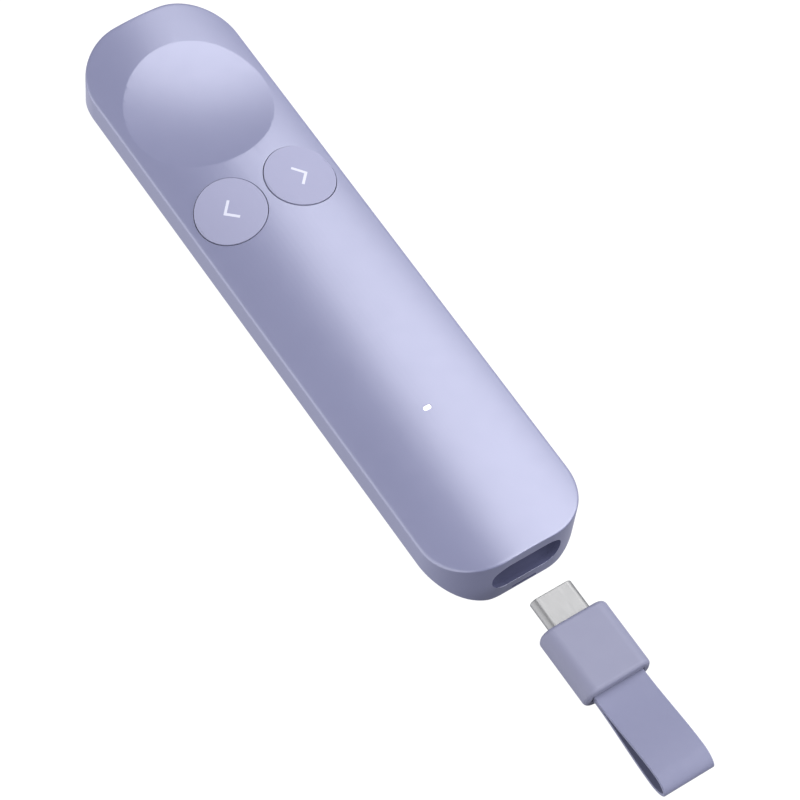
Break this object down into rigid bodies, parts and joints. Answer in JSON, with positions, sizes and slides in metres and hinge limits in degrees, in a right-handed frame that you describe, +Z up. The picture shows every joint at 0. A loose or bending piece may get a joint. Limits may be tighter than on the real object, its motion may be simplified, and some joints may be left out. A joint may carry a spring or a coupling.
{
  "type": "wireless presentation remote",
  "caption": "Slim wireless presentation remote with a thumb dish, page buttons, a status light and a plug-in receiver on a strap loop that docks in its tail.",
  "frame": {"origin": "middle of the flat strip of the underside that the hand piece rests on", "axes": "+Y along the hand piece from the tail with the bay to the nose with the thumb dish, +X to its right, +Z up"},
  "size_m": [0.03, 0.1712, 0.0141],
  "materials": {
    "shell": "satin lavender",
    "button": "matt pale lavender",
    "mark": "matt near white",
    "receiver_shell": "satin lavender",
    "strap": "soft matt lavender",
    "plug_steel": "bead blasted",
    "steel": "plain",
    "contacts": "plated",
    "copper": "etched",
    "flex": "amber film",
    "board": "coated",
    "foil": "satin",
    "white_plastic": "plain",
    "dark_plastic": "fine grain",
    "bay_lining": "fine grain",
    "foam": "soft",
    "light_window": "clear moulded"
  },
  "bodies": {
    "hand_piece": {"top_shell": "shell", "bottom_cover": "shell", "bay_sleeve": "bay_lining", "light_guide": "light_window", "status_led": "light_window", "main_board": "board", "board_screws": "steel", "battery_cell": "foil", "battery_tape": "white_plastic", "battery_foam": "foam", "battery_lead": "flex", "battery_connector": "white_plastic", "back_switch": "steel", "next_switch": "steel", "touch_sensor": "copper", "sensor_lead": "flex", "sensor_connector": "white_plastic", "haptic_motor": "steel", "radio_shield": "steel", "radio_chip": "dark_plastic", "antenna": "white_plastic", "socket_shell": "steel", "socket_tongue": "dark_plastic", "socket_contacts": "contacts"},
    "back_key": {"back_button": "button", "back_arrow": "mark", "back_plunger": "foam"},
    "next_key": {"next_button": "button", "next_arrow": "mark", "next_plunger": "foam"},
    "receiver": {"receiver_housing": "receiver_shell", "plug_shell": "plug_steel", "plug_insert": "dark_plastic", "plug_contacts": "contacts", "receiver_board": "board", "receiver_chip": "dark_plastic", "strap_pin": "steel", "strap_loop": "strap"}
  },
  "joints": [
    {"name": "receiver_dock", "type": "slide", "parent": "hand_piece", "child": "receiver", "axis": [0, 1, 0], "range_m": [0, 0.0265]},
    {"name": "back_press", "type": "slide", "parent": "hand_piece", "child": "back_key", "axis": [0.187, 0, -0.9824], "range_m": [0, 0.0004], "stiffness_N_per_m": 2500},
    {"name": "next_press", "type": "slide", "parent": "hand_piece", "child": "next_key", "axis": [-0.187, 0, -0.9824], "range_m": [0, 0.0004], "stiffness_N_per_m": 2500}
  ]
}
